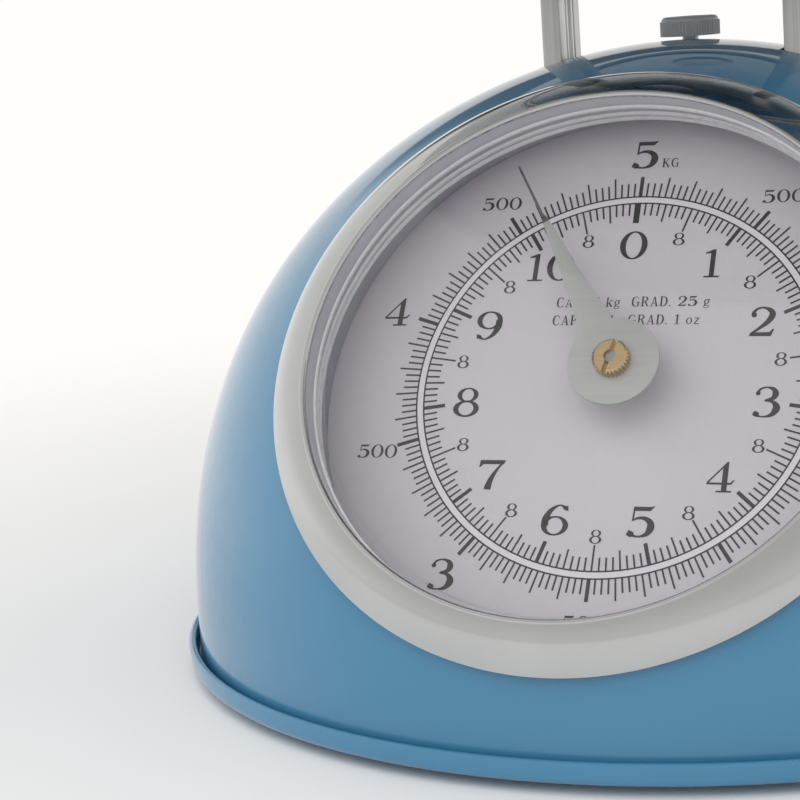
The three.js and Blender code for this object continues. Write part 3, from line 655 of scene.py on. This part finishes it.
OPEN_CURVE = ((0.66, 0.74, 0.05), (0.6, 0.92, 0.06), (0.42, 0.98, 0.06), (0.2, 0.86, 0.12),
              (0.12, 0.5, 0.15), (0.2, 0.14, 0.12), (0.42, 0.02, 0.06))         # shared by C and G
GLYPHS = {
    "0": (0.92, [oval(0.46, 0.5, 0.455, 0.51, 0.262, 0.455)]),
    "1": (0.56, [shape((0.22, 0.03), (0.38, 0.03), (0.38, 0.99), (0.3, 0.99), (0.22, 0.86)),
                 shape((0.3, 0.99), (0.04, 0.88), (0.05, 0.84), (0.22, 0.86)),
                 bar(0.05, 0.55, 0.025, 0.05)]),
    "2": (0.86, [line((0.16, 0.7, 0.1), (0.14, 0.8, 0.1), (0.26, 0.94, 0.07), (0.46, 0.98, 0.06),
                      (0.68, 0.88, 0.14), (0.74, 0.72, 0.18), (0.62, 0.5, 0.15), (0.38, 0.28, 0.09),
                      (0.1, 0.07, 0.06)),
                 shape((0.05, 0), (0.76, 0), (0.84, 0.25), (0.79, 0.25), (0.7, 0.14), (0.14, 0.13)),
                 dot(0.17, 0.73, 0.085)]),
    "3": (0.86, [line((0.14, 0.8, 0.08), (0.24, 0.93, 0.06), (0.43, 0.98, 0.05), (0.63, 0.91, 0.12),
                      (0.7, 0.76, 0.18), (0.62, 0.61, 0.12), (0.38, 0.535, 0.05)),
                 line((0.38, 0.535, 0.05), (0.62, 0.5, 0.09), (0.75, 0.36, 0.18), (0.75, 0.22, 0.2),
                      (0.62, 0.06, 0.12), (0.4, 0, 0.05), (0.2, 0.03, 0.06), (0.09, 0.13, 0.1)),
                 dot(0.16, 0.78, 0.075),
                 shape((0.03, 0.06), (0.1, 0.2), (0.24, 0.14), (0.26, 0.02), (0.16, -0.01))]),
    "4": (0.92, [line((0.64, 0.98, 0.05), (0.34, 0.64, 0.045), (0.05, 0.3, 0.05)), bar(0.03, 0.76, 0.285),
                 shape((0.74, 0.255), (0.8, 0.255), (0.9, 0.4), (0.84, 0.4), (0.76, 0.31)),
                 shape((0.5, 0.03), (0.67, 0.03), (0.67, 1), (0.62, 1), (0.5, 0.86)),
                 bar(0.34, 0.82, 0.025, 0.05)]),
    "5": (0.9, [shape((0.2, 0.84), (0.7, 0.84), (0.84, 1), (0.78, 1), (0.7, 0.98), (0.22, 0.98)),
                shape((0.17, 0.98), (0.23, 0.98), (0.21, 0.52), (0.15, 0.49)),
                line((0.16, 0.51, 0.03), (0.32, 0.6, 0.07), (0.54, 0.6, 0.11), (0.72, 0.48, 0.17),
                     (0.76, 0.3, 0.21), (0.66, 0.1, 0.14), (0.44, 0.01, 0.06), (0.24, 0.03, 0.07),
                     (0.1, 0.12, 0.1)),
                shape((0.01, 0.06), (0.09, 0.22), (0.25, 0.14), (0.28, 0.01), (0.14, -0.02))]),
    "6": (0.92, [oval(0.48, 0.31, 0.435, 0.325, 0.255, 0.27),
                 line((0.15, 0.3, 0.2), (0.17, 0.56, 0.19), (0.32, 0.84, 0.12), (0.56, 0.985, 0.05),
                      (0.76, 0.93, 0.07)), shape((0.62, 0.97), (0.84, 0.97), (0.86, 0.8), (0.72, 0.84))]),
    "7": (0.88, [shape((0.03, 0.76), (0.08, 0.76), (0.17, 0.86), (0.84, 0.86), (0.9, 1), (0.06, 1)),
                 line((0.83, 0.95, 0.05), (0.64, 0.68, 0.08), (0.5, 0.4, 0.14), (0.42, 0.12, 0.19),
                      (0.41, 0, 0.2))]),
    "8": (0.9, [oval(0.45, 0.755, 0.355, 0.255, 0.195, 0.205),
                oval(0.45, 0.275, 0.435, 0.29, 0.25, 0.225)]),
    "9": (0.92, [oval(0.44, 0.69, 0.435, 0.325, 0.255, 0.27),
                 line((0.77, 0.7, 0.2), (0.75, 0.44, 0.19), (0.6, 0.16, 0.12), (0.36, 0.015, 0.05),
                      (0.16, 0.07, 0.07)), shape((0.3, 0.03), (0.08, 0.03), (0.06, 0.2), (0.2, 0.16))]),
    "A": (0.78, [line((0.39, 0.99, 0.06), (0.15, 0.03, 0.06)),
                 line((0.39, 0.99, 0.1), (0.64, 0.03, 0.14)), bar(0.22, 0.55, 0.32), bar(0.04, 0.27),
                 bar(0.5, 0.77)]),
    "C": (0.74, [line(*OPEN_CURVE, (0.6, 0.07, 0.06), (0.68, 0.24, 0.05))]),
    "D": (0.78, [stem(0.18, 0.14),
                 line((0.04, 0.03, 0.06), (0.36, 0.03, 0.06), (0.58, 0.14, 0.11), (0.68, 0.5, 0.15),
                      (0.58, 0.86, 0.11), (0.36, 0.97, 0.06), (0.04, 0.97, 0.06))]),
    "G": (0.8, [line(*OPEN_CURVE, (0.62, 0.08, 0.07)), line((0.66, 0.02, 0.12), (0.66, 0.44, 0.12)),
                bar(0.48, 0.8, 0.44)]),
    "K": (0.8, [stem(0.18, 0.14), line((0.22, 0.42, 0.06), (0.64, 0.95, 0.06)),
                line((0.36, 0.58, 0.12), (0.68, 0.03, 0.14)), bar(0.04, 0.33), bar(0.04, 0.33, 0.97),
                bar(0.52, 0.8), bar(0.5, 0.76, 0.97)]),
    "P": (0.68, [stem(0.18, 0.14), bar(0.04, 0.34),
                 line((0.04, 0.97, 0.06), (0.38, 0.97, 0.06), (0.58, 0.86, 0.12), (0.6, 0.68, 0.13),
                      (0.42, 0.5, 0.07), (0.22, 0.48, 0.06))]),
    "R": (0.78, [stem(0.18, 0.14), bar(0.04, 0.34),
                 line((0.04, 0.97, 0.06), (0.38, 0.97, 0.06), (0.58, 0.86, 0.12), (0.58, 0.68, 0.13),
                      (0.4, 0.52, 0.07), (0.22, 0.5, 0.06)),
                 line((0.42, 0.5, 0.12), (0.62, 0.1, 0.12), (0.76, 0.03, 0.06))]),
    "b": (0.66, [stem(0.15, 0.12), oval(0.36, 0.32, 0.26, 0.33, 0.15, 0.27)]),
    "g": (0.62, [oval(0.28, 0.43, 0.24, 0.24, 0.13, 0.18), oval(0.28, -0.08, 0.27, 0.16, 0.19, 0.1),
                 line((0.16, 0.22, 0.07), (0.12, 0.12, 0.08), (0.26, 0.07, 0.07)),
                 line((0.44, 0.6, 0.08), (0.58, 0.66, 0.08))]),
    "k": (0.68, [stem(0.15, 0.12), line((0.18, 0.28, 0.06), (0.52, 0.62, 0.06)),
                 line((0.3, 0.4, 0.11), (0.56, 0.03, 0.12)), bar(0.03, 0.28), bar(0.42, 0.68),
                 bar(0.4, 0.64, 0.63)]),
    "l": (0.34, [stem(0.17, 0.12), bar(0.04, 0.31), bar(0.05, 0.17, 0.95)]),
    "o": (0.62, [oval(0.3, 0.33, 0.28, 0.34, 0.16, 0.28)]),
    "z": (0.56, [bar(0.05, 0.5, 0.62, 0.07), line((0.48, 0.62, 0.1), (0.08, 0.04, 0.1)),
                 bar(0.04, 0.52, 0.035, 0.07)]),
    ".": (0.26, [dot(0.12, 0.06, 0.07)]),
    " ": (0.36, []),
}
TRACK = 0.10                # space between glyphs
STROKE_WEIGHT = 1.14


def smooth_path(points, steps=10):
    """Catmull-Rom samples through (x, y, width) points."""
    if len(points) == 2:
        return [Vector(points[0]), Vector(points[1])]
    pts = [Vector(p) for p in points]
    pts = [2 * pts[0] - pts[1]] + pts + [2 * pts[-1] - pts[-2]]
    samples = []
    for a, b, c, d in zip(pts, pts[1:], pts[2:], pts[3:]):
        for i in range(steps):
            t = i / steps
            samples.append(0.5 * (2 * b + (c - a) * t + (2 * a - 5 * b + 4 * c - d) * t * t
                                  + (3 * b - a - 3 * c + d) * t ** 3))
    return samples + [pts[-2]]


class Print:
    """Collects flat printed shapes in dial coordinates (units of the ring radius, v up)."""

    def __init__(self):
        self.verts, self.faces = [], []

    def polygon(self, points):
        area = sum(a[0] * b[1] - b[0] * a[1] for a, b in zip(points, points[1:] + points[:1]))
        if area < 0:
            points = points[::-1]
        first = len(self.verts)
        self.verts += [(x * PRINT_UNIT, y * PRINT_UNIT) for x, y in points]
        self.faces.append(tuple(range(first, first + len(points))))

    def strip(self, left, right):
        first, n = len(self.verts), len(left)
        self.verts += [(x * PRINT_UNIT, y * PRINT_UNIT) for x, y in left + right]
        for i in range(n - 1):
            self.faces.append((first + i, first + n + i, first + n + i + 1, first + i + 1))

    def ring(self, cx, cy, outer, inner, steps=48):
        turn = [2 * math.pi * i / steps for i in range(steps + 1)]
        out = [(cx + outer[0] * math.cos(a), cy + outer[1] * math.sin(a)) for a in turn]
        inn = [(cx + inner[0] * math.cos(a), cy + inner[1] * math.sin(a)) for a in turn]
        self.strip(inn, out)

    def disc(self, cx, cy, r):
        self.polygon(circle(r, 20, cx, cy))

    def stroke(self, points):
        path = smooth_path(points)
        left, right = [], []
        for i, p in enumerate(path):
            ahead, behind = path[min(i + 1, len(path) - 1)], path[max(i - 1, 0)]
            along = Vector((ahead.x - behind.x, ahead.y - behind.y)).normalized()
            side = Vector((-along.y, along.x)) * (p.z * STROKE_WEIGHT / 2)
            left.append((p.x + side.x, p.y + side.y))
            right.append((p.x - side.x, p.y - side.y))
        self.strip(left, right)

    def tick(self, degrees, r0, r1, width):
        a = math.radians(90 - degrees)
        out, side = Vector((math.cos(a), math.sin(a))), Vector((-math.sin(a), math.cos(a))) * (width / 2)
        corners = [out * r0 - side, out * r1 - side, out * r1 + side, out * r0 + side]
        self.polygon([(c.x, c.y) for c in corners])

    def width_of(self, text, height):
        return sum(GLYPHS[c][0] + TRACK for c in text) * height - TRACK * height

    def text(self, text, x, y, height):
        """Text with its left end at x and its baseline at y."""
        for c in text:
            advance, parts = GLYPHS[c]
            for part in parts:
                self.glyph_part(part, x, y, height)
            x += (advance + TRACK) * height

    def centred(self, text, x, y, height):
        self.text(text, x - self.width_of(text, height) / 2, y - height / 2, height)

    def glyph_part(self, part, x, y, h):
        kind, data = part
        if kind == "line":
            self.stroke([(x + px * h, y + py * h, w * h) for px, py, w in data])
        elif kind == "shape":
            self.polygon([(x + px * h, y + py * h) for px, py in data])
        elif kind == "oval":
            cx, cy, ax, ay, bx, by = data
            self.ring(x + cx * h, y + cy * h, (ax * h, ay * h), (bx * h, by * h))
        else:
            self.disc(x + data[0] * h, y + data[1] * h, data[2] * h)

    def make(self, name, lift):
        return add_mesh(name, [(x, y, lift) for x, y in self.verts], self.faces, DIAL)

    def make_ink(self, name):
        finish_piece(self.make(name, INK_LIFT), "black", "housing", material=INK)


def polar(degrees, r):
    a = math.radians(90 - degrees)
    return r * math.cos(a), r * math.sin(a)


INK_LIFT, BAND_LIFT = 0.04, 0.02                    # height above the card, millimetres
# the sizes below are in units of PRINT_UNIT
RING_OUT, RING_IN, RING_LINE = 1.0, 0.9635, 0.0080
TICK_THIN, TICK_BOLD = 0.0092, 0.0190
TICK_25_G, TICK_100_G = 0.076, 0.112
TICK_OUNCE, TICK_QUARTER, TICK_HALF, TICK_POUND = 0.068, 0.098, 0.130, 0.110
BIG, SMALL, HALF_POUND, CAPTION = 0.152, 0.070, 0.068, 0.0525
KILO_R, HALF_KILO_R, POUND_R, HALF_POUND_R = 1.235, 1.215, 0.742, 0.792     # middle of the figures
FULL_LOAD, POUND = 5, 0.45359237                    # kilograms


def print_rings():
    band = Print()
    band.ring(0, 0, (RING_OUT, RING_OUT), (RING_IN, RING_IN), 360)
    finish_piece(band.make("print_band", BAND_LIFT), "dial", "housing", material=BAND)
    lines = Print()
    for r in (RING_OUT, RING_IN):
        lines.ring(0, 0, (r + RING_LINE / 2,) * 2, (r - RING_LINE / 2,) * 2, 360)
    lines.make_ink("print_ring_lines")


def print_kilograms():
    ticks, figures = Print(), Print()
    for i in range(200):
        length = TICK_100_G if i % 4 == 0 else TICK_25_G
        ticks.tick(i * 1.8, RING_OUT, RING_OUT + length, TICK_BOLD if i % 20 == 0 else TICK_THIN)
    ticks.make_ink("print_kilogram_ticks")
    for kilo in range(1, 5):
        figures.centred(str(kilo), *polar(kilo * 72, KILO_R), BIG)
    for half in range(5):
        figures.centred("500", *polar(36 + half * 72, HALF_KILO_R), SMALL)
    figures.centred("5", 0.0, 1.239, BIG)
    figures.text("KG", 0.089, 1.163, 0.050)
    figures.make_ink("print_kilogram_figures")


def print_pounds():
    """One tick an ounce; the last figure is 10, since 11 would fall on the 0."""
    ticks, figures = Print(), Print()
    ounces = FULL_LOAD / POUND * 16
    for i in range(int(ounces) + 1):
        angle, part = i * 360 / ounces, i % 16
        length = {0: TICK_POUND, 8: TICK_HALF, 4: TICK_QUARTER, 12: TICK_QUARTER}.get(part, TICK_OUNCE)
        ticks.tick(angle, RING_IN - length, RING_IN, TICK_BOLD if part == 0 else TICK_THIN)
        if part == 0 and 0 < i < 170:
            figures.centred(str(i // 16), *polar(angle, POUND_R), BIG)
        if part == 8:
            figures.centred("8", *polar(angle, HALF_POUND_R), HALF_POUND)
    figures.centred("0", 0.0, 0.731, BIG)
    ticks.make_ink("print_pound_ticks")
    figures.make_ink("print_pound_figures")


def print_captions():
    words = Print()
    words.text("CAP. 5 kg  GRAD. 25 g", -0.352, 0.397, CAPTION)
    words.text("CAP. 11 lb  GRAD. 1 oz", -0.360, 0.300, CAPTION)
    words.make_ink("print_captions")


# ---- pointer --------------------------------------------------------------
BEND_R, TIP_R, BLADE = 36.3, 51.4, 0.6              # where the needle starts and ends; sheet thickness
NUT_R, NUT_ROOT_R, NUT_RIBS, NUT_H = 3.75, 3.42, 30, 2.9


def blade_outline():
    """Hub circle and tapered blade; the right edge kinks where the blank was folded."""
    left, right = -3.35, 3.55
    foot_l, foot_r = math.sqrt(HUB_R ** 2 - left ** 2), math.sqrt(HUB_R ** 2 - right ** 2)
    start, end = math.degrees(math.atan2(foot_l, left)), 360 + math.degrees(math.atan2(foot_r, right))
    points = [(-0.62, BEND_R), (-1.55, 26.0), (left, foot_l)] + arc(0, 0, HUB_R, start + 3, end - 3, 64)
    points += [(right, foot_r), (2.75, 15.5), (2.0, 22.3), (1.75, 23.0)]
    return points + [(0.95, BEND_R - 1.2), (0.6, BEND_R)]


def needle_row(t):
    """Four corners of the needle's section; it is turned on edge over the first seventh of its length."""
    y = BEND_R - 0.3 + (TIP_R - BEND_R + 0.3) * t
    twist = math.radians(90) * smooth_step(0.0, 0.14, t)
    half = 0.66 + 0.36 * smooth_step(0.05, 0.3, t) - 0.50 * smooth_step(0.55, 1.0, t)
    thick = 0.28 - 0.06 * t
    corners = []
    for x, z in ((-half, -thick), (half, -thick), (half, thick), (-half, thick)):
        corners.append((x * math.cos(twist) - z * math.sin(twist), y,
                        POINTER_H + x * math.sin(twist) + z * math.cos(twist)))
    return corners


def make_pointer():
    turn = SHAFT @ Matrix.Rotation(math.radians(POINTER_REST), 4, "Z")
    low, high = POINTER_H - BLADE / 2, POINTER_H + BLADE / 2
    blade = prism("pointer_blade", blade_outline()[::-1], low, high, turn, 0.1)
    finish_piece(blade, "steel", "pointer", material=POINTER_METAL)
    needle = tube("pointer_needle", [needle_row(i / 30) for i in range(31)], turn, 30)
    finish_piece(needle, "steel", "pointer", ["pointer"], material=NEEDLE_METAL)


def make_pointer_nut():
    """Round knurled nut with a coned edge, a cross slot and a through bore that shows the shaft end."""
    z0, z1 = POINTER_H + 0.32, POINTER_H + NUT_H
    nut = prism("pointer_nut_knurled", knurl(NUT_RIBS, NUT_R, NUT_ROOT_R), z0, z1, SHAFT, 0.0, 25)
    outside = [(9, z1 + 3), (3.15, z1 + 3), (3.15, z1), (4.1, z1 - 0.75), (4.1, z0 - 0.5)]
    cut(nut, lathe("coned_edge", outside, 96, SHAFT, closed=True))
    slot = SHAFT @ Matrix.Rotation(math.radians(-14), 4, "Z")
    cut(nut, cuboid("slot", (0.95, 9, 2.6), (0, 0, z1), slot), cylinder("bore", 1.25, 0, 20, SHAFT))
    shade(nut, 25)
    finish_piece(nut, "brass", "pointer", ["pointer_nut"])


# ---- posts, knob, carrier, bowl -------------------------------------------
def make_posts():
    """Rolled section: rounded edges, two narrow grooves and one deep groove down each wide face."""
    half, groove, deep = POST_W / 2, 0.35, 0.7
    rise = [(-7.5, 0.5), (-7.35, 0.12), (-7.0, 0), (-3.2, 0), (-2.9, groove), (-2.6, groove), (-2.3, 0),
            (-1.2, 0), (-0.8, deep)]
    face = rise + [(-y, d) for y, d in reversed(rise)]
    for side, name in ((-1, "left"), (1, "right")):
        outline = [(side * POST_X + half - d, y) for y, d in face]
        outline += [(side * POST_X - half + d, y) for y, d in reversed(face)]
        post = prism(f"post_{name}_section", outline, 26, 158.5, None, 0.12, 30)
        finish_piece(post, "steel", "carriage", [f"post_{name}"], material=POST_METAL)


def make_knob():
    """Ribbed grip, a cap with a rounded edge, and the stem that goes down through the dome."""
    base, rib, edge = DOME_Z0 + DOME_H + 0.5, 0.3, 1.0
    outline = knurl(60, KNOB_R, KNOB_R - rib, KNOB_Y)
    grip = prism("zero_knob_grip", outline, base, KNOB_TOP - edge, None, 0, 20)
    finish_piece(grip, "steel", "zero_knob", material=KNOB_GREY)
    cap = [(0, KNOB_TOP - 1.1), (KNOB_R - rib, KNOB_TOP - 1.1)]
    cap += arc(KNOB_R - rib - edge, KNOB_TOP - edge, edge, 0, 90, 8)
    cap += [(2.2, KNOB_TOP), (1.9, KNOB_TOP - 0.25), (0, KNOB_TOP - 0.3)]
    top = lathe("zero_knob_cap", cap, 96, Matrix.Translation((0, KNOB_Y * MM, 0)))
    finish_piece(top, "steel", "zero_knob", material=KNOB_GREY)
    stem_rod = cylinder("zero_knob_stem", STEM_R, 109, base + 0.5, None, 0, KNOB_Y, 32)
    shade(stem_rod, 35)
    finish_piece(stem_rod, "steel", "zero_knob", ["zero_knob"])


def make_carrier():
    """Round plate with a rolled-down edge and a low boss, two windows and two screw holes."""
    z, thick, windows_y = CARRIER_Z, 1.5, 26
    edge_r = CARRIER_R - 3
    profile = [(0, z), (edge_r, z)] + arc(edge_r, z - 1.8, 1.8, 90, 0, 6)[1:] + [(CARRIER_R - 1.2, z - 3)]
    profile += [(CARRIER_R, z - 3)] + arc(edge_r, z - thick, 3.0, 0, 90, 10) + [(30, z + thick)]
    profile += [(10.0, z + thick), (9.3, z + 1.8), (8.8, z + 2.4), (8.2, z + 2.6), (0, z + 2.6)]
    plate = lathe("tray_carrier_plate", profile, 160)
    tools = []
    for side in (-1, 1):
        tools.append(cylinder("window", 9, z - 1, z + 3, None, 0, side * windows_y))
        tools.append(cylinder("screw_hole", 2.8, z - 1, z + 3, None, side * POST_X, 0, 32))
    cut(plate, *tools)
    shade(plate, 35)
    finish_piece(plate, "stainless", "carriage", ["tray_carrier"])


def make_bowl():
    """Spun bowl: rolled lip, curved wall and a raised dimple that sits over the carrier's boss."""
    wall, top, rim_r = 0.9, BOWL_Z + BOWL_H, BOWL_R - 3
    floor, dimple = BOWL_Z + wall, BOWL_Z + 1.6

    def curve(z0, r1, z1):
        steps = 40
        return [(BOWL_FOOT_R + (r1 - BOWL_FOOT_R) * math.sin(math.pi / 2 * i / steps),
                 z1 - (z1 - z0) * math.cos(math.pi / 2 * i / steps)) for i in range(steps + 1)]

    outer = curve(BOWL_Z, rim_r, top - 3)
    inner = curve(floor, rim_r - wall, top - 3)
    lip = arc(BOWL_R - 1.6, top - 1.5, 1.5, -70, 90, 12)
    lip += [(BOWL_R - 3.2, top - 0.1), (BOWL_R - 3.8, top - 0.9)]
    foot = [(0, dimple), (11, dimple), (11.8, dimple - 0.5), (12.2, BOWL_Z + 0.3), (12.8, BOWL_Z)]
    well = [(13, floor), (12.6, floor + 0.3), (12.2, dimple + wall - 0.4)]
    well += [(11.4, dimple + wall), (0, dimple + wall)]
    bowl = lathe("bowl_skin", foot + outer + lip + inner[::-1] + well, 224)
    finish_piece(bowl, "stainless", "bowl", ["bowl"])


def make_springs():
    """Open coils from the hanger down to the carriage."""
    z0, z1, turns, r, wire = 33.0, 103.0, 26, 3.2, 0.45
    x, y, steps = 15, 9, turns * 20
    for side, name in ((-1, "left"), (1, "right")):
        rows = []
        for i in range(steps + 1):
            t = i / steps
            a = 2 * math.pi * turns * t
            centre = Vector((side * x + r * math.cos(a), y + r * math.sin(a), z0 + (z1 - z0) * t))
            out = Vector((math.cos(a), math.sin(a), 0))
            rows.append([centre + out * u + Vector((0, 0, v)) for u, v in circle(wire, 8)])
        coil = tube(f"spring_{name}_coil", rows, None, 60)
        coil.data.materials.append(MATERIALS["spring"])
        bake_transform(coil)
        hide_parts(f"spring_{name}")


# ---- studio ---------------------------------------------------------------
WALL_COLOR = (1.0, 0.99, 0.97)
FRONT_SHARE = 0.74                          # brightness of the front against the sides
FRONT_SPAN = (-0.9, 0.2)                    # the Y of the direction over which it comes back to full
LIGHT_SIZE, LIGHT_AIM = 2.0, (0, 0, 0.08)   # metres
SWEEP = (0.16, 0.55)                        # the floor fades into the surround between these radii, metres
# pairs of (sine of the height angle, brightness)
WALL_STOPS = ((0.0, 1.0), (0.10, 0.95), (0.25, 0.86), (0.6, 0.80), (1.0, 0.80))
GAP_STOPS = ((0.0, 1.0), (0.10, 1.0), (0.25, 1.0), (0.28, 0.08), (0.62, 0.10), (0.78, 1.0), (1.0, 1.0))
GAP_SIDE = (0.68, 0.80)                     # the Y of the direction over which the gap comes in


def make_camera():
    az, el, roll = (math.radians(a) for a in (CAMERA_AZ, CAMERA_EL, CAMERA_ROLL))
    back = Vector((math.sin(az) * math.cos(el), -math.cos(az) * math.cos(el), math.sin(el)))
    right = Vector((math.cos(az), math.sin(az), 0))
    up = back.cross(right)
    x = right * math.cos(roll) + up * math.sin(roll)
    y = up * math.cos(roll) - right * math.sin(roll)
    camera = bpy.data.objects.new("camera", bpy.data.cameras.new("camera"))
    bpy.context.scene.collection.objects.link(camera)
    basis = Matrix((x, y, back)).transposed().to_4x4()
    camera.matrix_world = Matrix.Translation(Vector(CAMERA_AT) * MM) @ basis
    camera.data.sensor_width = 36
    camera.data.lens = CAMERA_LENS
    camera.data.clip_start, camera.data.clip_end = 0.01, 20
    bpy.context.scene.camera = camera


def make_floor():
    """Pale sweep: a matt floor near the object that fades into the brightness of the surround."""
    bpy.ops.mesh.primitive_plane_add(size=12, location=(0, 0, 0))
    floor = bpy.context.object
    floor.name = "floor"
    m = Nodes("pale_floor")
    m.use("Base Color", m.ramp(m.noise(6, 3), (0.86, 0.86, 0.86), (0.89, 0.89, 0.89)))
    m.use("Roughness", m.span(m.noise(20, 3), 0.7, 0.8))
    length, ahead = (m.tree.nodes.new("ShaderNodeVectorMath") for _ in range(2))
    length.operation, ahead.operation = "LENGTH", "NORMALIZE"
    m.link(m.coords, length.inputs[0])
    m.link(m.coords, ahead.inputs[0])
    glow = m.tree.nodes.new("ShaderNodeEmission")
    glow.inputs["Color"].default_value = (*WALL_COLOR, 1)
    m.link(front_dimming(m.tree, ahead.outputs["Vector"]), glow.inputs["Strength"])
    mix = m.tree.nodes.new("ShaderNodeMixShader")
    m.link(map_range(m.tree, length.outputs["Value"], SWEEP, (0, 1)), mix.inputs["Fac"])
    m.link(m.shader.outputs["BSDF"], mix.inputs[1])
    m.link(glow.outputs["Emission"], mix.inputs[2])
    m.link(mix.outputs["Shader"], m.tree.nodes["Material Output"].inputs["Surface"])
    floor.data.materials.append(m.material)


def area_light(name, location, power):
    """Large square soft box aimed at the object; it lights but is not mirrored."""
    light = bpy.data.lights.new(name, "AREA")
    light.size = LIGHT_SIZE
    light.energy = power
    obj = bpy.data.objects.new(name, light)
    bpy.context.scene.collection.objects.link(obj)
    obj.location = location
    obj.visible_glossy = False
    obj.rotation_euler = (Vector(LIGHT_AIM) - Vector(location)).to_track_quat("-Z", "Y").to_euler()


def front_dimming(tree, direction):
    """The surround in front of the dial is darker than at the sides and back."""
    return map_range(tree, separate(tree, direction)["Y"], FRONT_SPAN, (FRONT_SHARE, 1.0))


def grey_ramp(tree, value, stops):
    node = tree.nodes.new("ShaderNodeValToRGB")
    tree.links.new(value, node.inputs["Fac"])
    ramp = node.color_ramp
    for element, (position, level) in zip(ramp.elements, (stops[0], stops[-1])):
        element.position = position
        element.color = (level, level, level, 1)
    for position, level in stops[1:-1]:
        ramp.elements.new(position).color = (level, level, level, 1)
    return node.outputs["Color"]


def make_world():
    """Studio surround: bright low walls, dimmer in front, and a dark gap above the low wall behind."""
    world = bpy.data.worlds.new("studio")
    bpy.context.scene.world = world
    world.use_nodes = True
    tree = world.node_tree
    coords = tree.nodes.new("ShaderNodeTexCoord").outputs["Generated"]
    axes = separate(tree, coords)
    walls = grey_ramp(tree, axes["Z"], WALL_STOPS)
    gap = grey_ramp(tree, axes["Z"], GAP_STOPS)
    behind = map_range(tree, axes["Y"], GAP_SIDE, (0, 1))
    mix = tree.nodes.new("ShaderNodeMix")
    mix.data_type = "FLOAT"
    mix.inputs["A"].default_value = 1.0
    tree.links.new(behind, mix.inputs["Factor"])
    tree.links.new(gap, mix.inputs["B"])
    strength = math_node(tree, "MULTIPLY", walls, mix.outputs["Result"])
    strength = math_node(tree, "MULTIPLY", strength, front_dimming(tree, coords))
    background = tree.nodes["Background"]
    background.inputs["Color"].default_value = (*WALL_COLOR, 1)
    tree.links.new(strength, background.inputs["Strength"])


def make_lights():
    make_world()
    area_light("overhead", (-0.75, -0.75, 1.35), 10)
    area_light("front_fill", (0.35, -1.9, 1.25), 14)
    bpy.context.scene.view_settings.view_transform = "Standard"


# ---- build ----------------------------------------------------------------
dress_cad_nodes()
make_dome()
make_pan()
make_bezel()
make_lens()
make_skirt()
make_dial_card()
print_rings()
print_kilograms()
print_pounds()
print_captions()
make_pointer()
make_pointer_nut()
make_posts()
make_knob()
make_carrier()
make_bowl()
make_springs()
make_camera()
make_floor()
make_lights()
